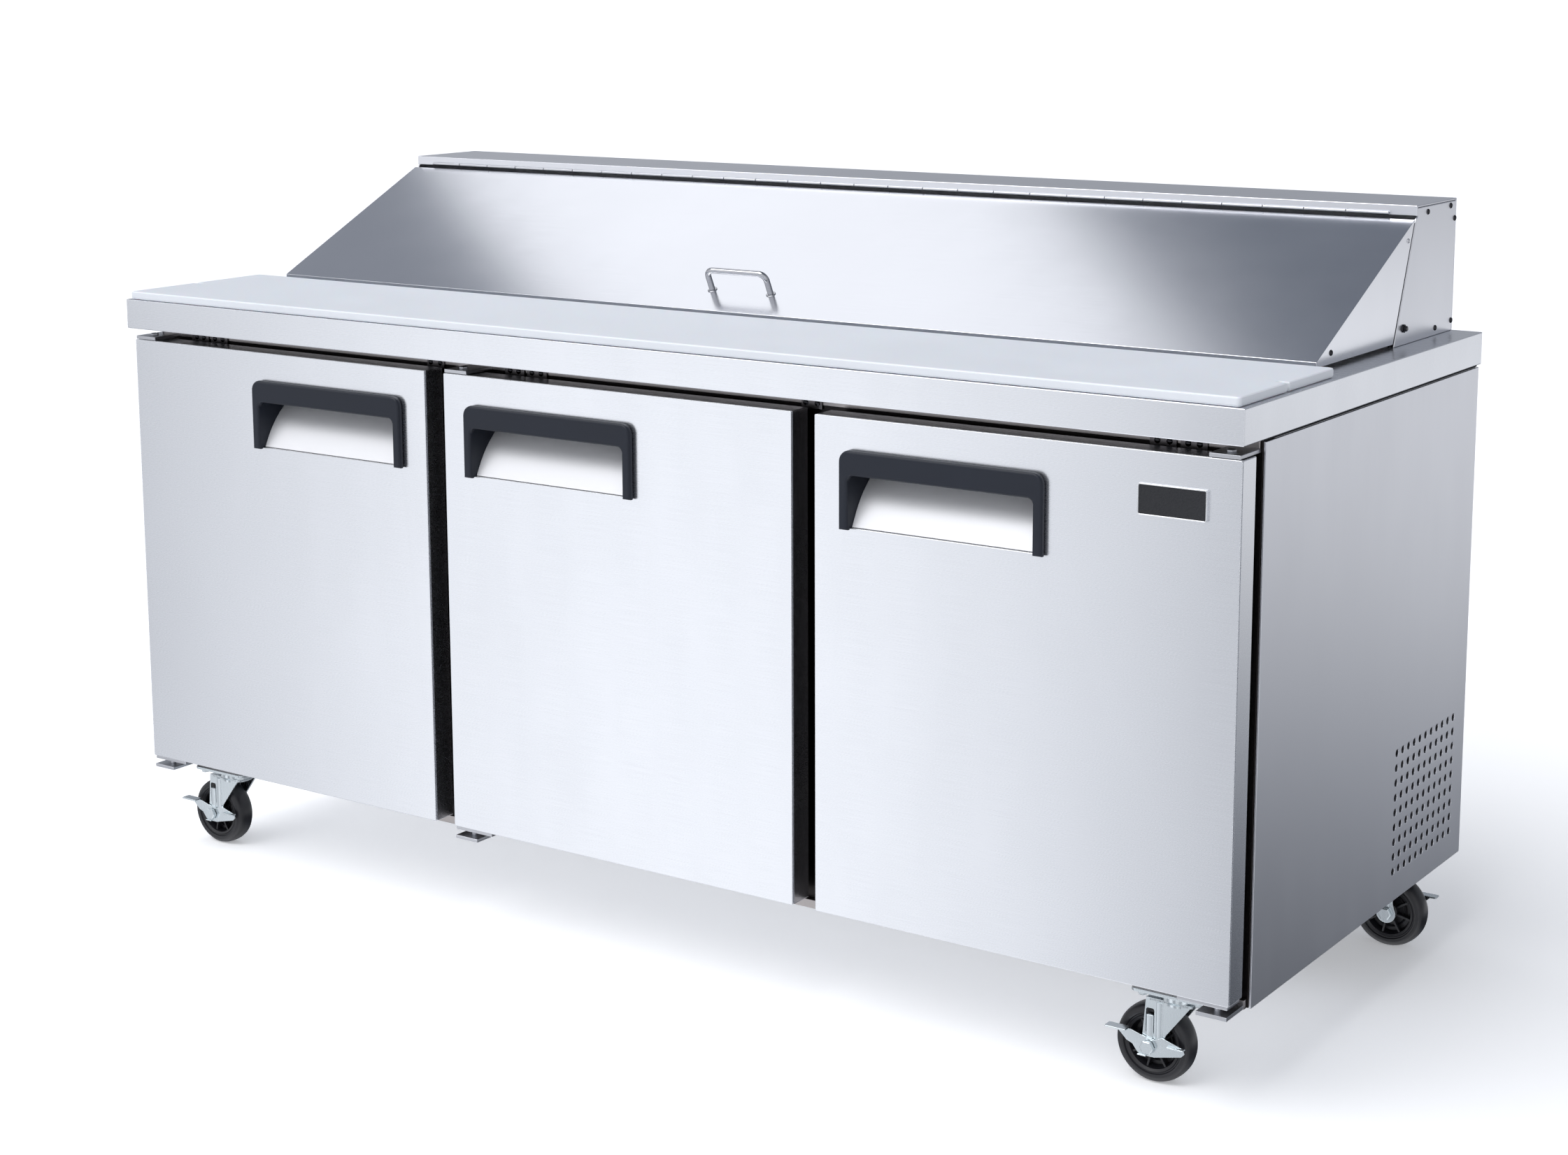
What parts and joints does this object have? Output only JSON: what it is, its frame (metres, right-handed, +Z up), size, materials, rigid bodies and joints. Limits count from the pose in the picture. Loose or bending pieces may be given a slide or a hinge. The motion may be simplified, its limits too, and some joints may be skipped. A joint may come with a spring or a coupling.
{
  "type": "sandwich prep table",
  "caption": "Long refrigerated counter in brushed steel with hinged doors, front cutting board, sloped lift-up lid over food pans, and swivelling casters with brakes.",
  "frame": {"origin": "centre of the footprint, on the floor", "axes": "+X to the right along the long side, +Y from the door side to the back, +Z up"},
  "size_m": [1.838, 0.76, 1.047],
  "materials": {
    "steel_panels": "satin",
    "frame_steel": "satin",
    "cabinet_lining": "satin",
    "worktop_steel": "satin",
    "board_plastic": "satin",
    "hood_steel": "satin",
    "lid_steel": "satin",
    "bright_rod": "polished",
    "pan_steel": "satin",
    "wire_coating": "satin",
    "black_enamel": "satin",
    "fin_aluminium": "satin",
    "black_plastic": "matte",
    "door_steel": "satin",
    "door_lining": "satin",
    "gasket_rubber": "matte",
    "grained_black_plastic": "matte",
    "scoop_steel": "satin",
    "hinge_steel": "satin",
    "zinc_plate": "satin",
    "wheel_plastic": "satin"
  },
  "bodies": {
    "cabinet": {"side_panel_left": "steel_panels", "side_panel_right": "steel_panels", "front_frame": "frame_steel", "insulated_tub": "cabinet_lining", "worktop": "worktop_steel", "cutting_board": "board_plastic", "hood_cover": "hood_steel", "hood_side_left": "hood_steel", "hood_side_right": "hood_steel", "food_pans_left": "pan_steel", "shelf_left": "wire_coating", "food_pans_middle": "pan_steel", "shelf_middle": "wire_coating", "food_pans_right": "pan_steel", "shelf_right": "wire_coating", "machine_tray": "frame_steel", "compressor": "black_enamel", "condenser": "fin_aluminium", "evaporator": "fin_aluminium", "hinge_top_left": "hinge_steel", "hinge_bottom_left": "hinge_steel", "hinge_top_middle": "hinge_steel", "hinge_bottom_middle": "hinge_steel", "hinge_top_right": "hinge_steel", "hinge_bottom_right": "hinge_steel", "caster_front_left_plate": "zinc_plate", "caster_front_right_plate": "zinc_plate", "caster_rear_left_plate": "zinc_plate", "caster_rear_right_plate": "zinc_plate"},
    "lid": {"lid_shell": "lid_steel", "lid_liner": "cabinet_lining", "lid_handle": "bright_rod"},
    "fan": {"condenser_fan": "black_plastic"},
    "door_left": {"door_left_skin": "door_steel", "door_left_liner": "door_lining", "door_left_gasket": "gasket_rubber", "door_left_pull_frame": "grained_black_plastic", "door_left_pull_scoop": "scoop_steel"},
    "door_middle": {"door_middle_skin": "door_steel", "door_middle_liner": "door_lining", "door_middle_gasket": "gasket_rubber", "door_middle_pull_frame": "grained_black_plastic", "door_middle_pull_scoop": "scoop_steel"},
    "door_right": {"door_right_skin": "door_steel", "door_right_liner": "door_lining", "door_right_gasket": "gasket_rubber", "door_right_pull_frame": "grained_black_plastic", "door_right_pull_scoop": "scoop_steel"},
    "front_left_swivel": {"caster_front_left_fork": "zinc_plate"},
    "front_left_wheel": {"caster_front_left_wheel": "wheel_plastic"},
    "front_left_brake": {"caster_front_left_brake": "zinc_plate"},
    "front_right_swivel": {"caster_front_right_fork": "zinc_plate"},
    "front_right_wheel": {"caster_front_right_wheel": "wheel_plastic"},
    "front_right_brake": {"caster_front_right_brake": "zinc_plate"},
    "rear_left_swivel": {"caster_rear_left_fork": "zinc_plate"},
    "rear_left_wheel": {"caster_rear_left_wheel": "wheel_plastic"},
    "rear_left_brake": {"caster_rear_left_brake": "zinc_plate"},
    "rear_right_swivel": {"caster_rear_right_fork": "zinc_plate"},
    "rear_right_wheel": {"caster_rear_right_wheel": "wheel_plastic"},
    "rear_right_brake": {"caster_rear_right_brake": "zinc_plate"}
  },
  "joints": [
    {"name": "door_left_hinge", "type": "hinge", "parent": "cabinet", "child": "door_left", "pos_m": [-0.891, -0.352, 0.476], "axis": [0, 0, -1], "range_deg": [0, 100]},
    {"name": "door_middle_hinge", "type": "hinge", "parent": "cabinet", "child": "door_middle", "pos_m": [-0.2705, -0.352, 0.476], "axis": [0, 0, -1], "range_deg": [0, 100]},
    {"name": "door_right_hinge", "type": "hinge", "parent": "cabinet", "child": "door_right", "pos_m": [0.891, -0.352, 0.476], "axis": [0, 0, 1], "range_deg": [0, 100]},
    {"name": "lid_hinge", "type": "hinge", "parent": "cabinet", "child": "lid", "pos_m": [0, 0.229, 1.036], "axis": [-1, 0, 0], "range_deg": [0, 122]},
    {"name": "fan_spin", "type": "hinge", "parent": "cabinet", "child": "fan", "pos_m": [0.798, 0.23, 0.254], "axis": [1, 0, 0], "continuous": true},
    {"name": "front_left_swivel_turn", "type": "hinge", "parent": "cabinet", "child": "front_left_swivel", "pos_m": [-0.815, -0.29, 0.12], "axis": [0, 0, 1], "continuous": true},
    {"name": "front_left_wheel_spin", "type": "hinge", "parent": "front_left_swivel", "child": "front_left_wheel", "pos_m": [-0.847, -0.29, 0.051], "axis": [0, 1, 0], "continuous": true},
    {"name": "front_left_brake_tilt", "type": "hinge", "parent": "front_left_swivel", "child": "front_left_brake", "pos_m": [-0.847, -0.29, 0.051], "axis": [0, -1, 0], "range_deg": [0, 14]},
    {"name": "front_right_swivel_turn", "type": "hinge", "parent": "cabinet", "child": "front_right_swivel", "pos_m": [0.815, -0.29, 0.12], "axis": [0, 0, 1], "continuous": true},
    {"name": "front_right_wheel_spin", "type": "hinge", "parent": "front_right_swivel", "child": "front_right_wheel", "pos_m": [0.783, -0.29, 0.051], "axis": [0, 1, 0], "continuous": true},
    {"name": "front_right_brake_tilt", "type": "hinge", "parent": "front_right_swivel", "child": "front_right_brake", "pos_m": [0.783, -0.29, 0.051], "axis": [0, -1, 0], "range_deg": [0, 14]},
    {"name": "rear_left_swivel_turn", "type": "hinge", "parent": "cabinet", "child": "rear_left_swivel", "pos_m": [-0.815, 0.31, 0.12], "axis": [0, 0, 1], "continuous": true},
    {"name": "rear_left_wheel_spin", "type": "hinge", "parent": "rear_left_swivel", "child": "rear_left_wheel", "pos_m": [-0.783, 0.31, 0.051], "axis": [0, 1, 0], "continuous": true},
    {"name": "rear_left_brake_tilt", "type": "hinge", "parent": "rear_left_swivel", "child": "rear_left_brake", "pos_m": [-0.783, 0.31, 0.051], "axis": [0, 1, 0], "range_deg": [0, 14]},
    {"name": "rear_right_swivel_turn", "type": "hinge", "parent": "cabinet", "child": "rear_right_swivel", "pos_m": [0.815, 0.31, 0.12], "axis": [0, 0, 1], "continuous": true},
    {"name": "rear_right_wheel_spin", "type": "hinge", "parent": "rear_right_swivel", "child": "rear_right_wheel", "pos_m": [0.847, 0.31, 0.051], "axis": [0, 1, 0], "continuous": true},
    {"name": "rear_right_brake_tilt", "type": "hinge", "parent": "rear_right_swivel", "child": "rear_right_brake", "pos_m": [0.847, 0.31, 0.051], "axis": [0, 1, 0], "range_deg": [0, 14]}
  ]
}
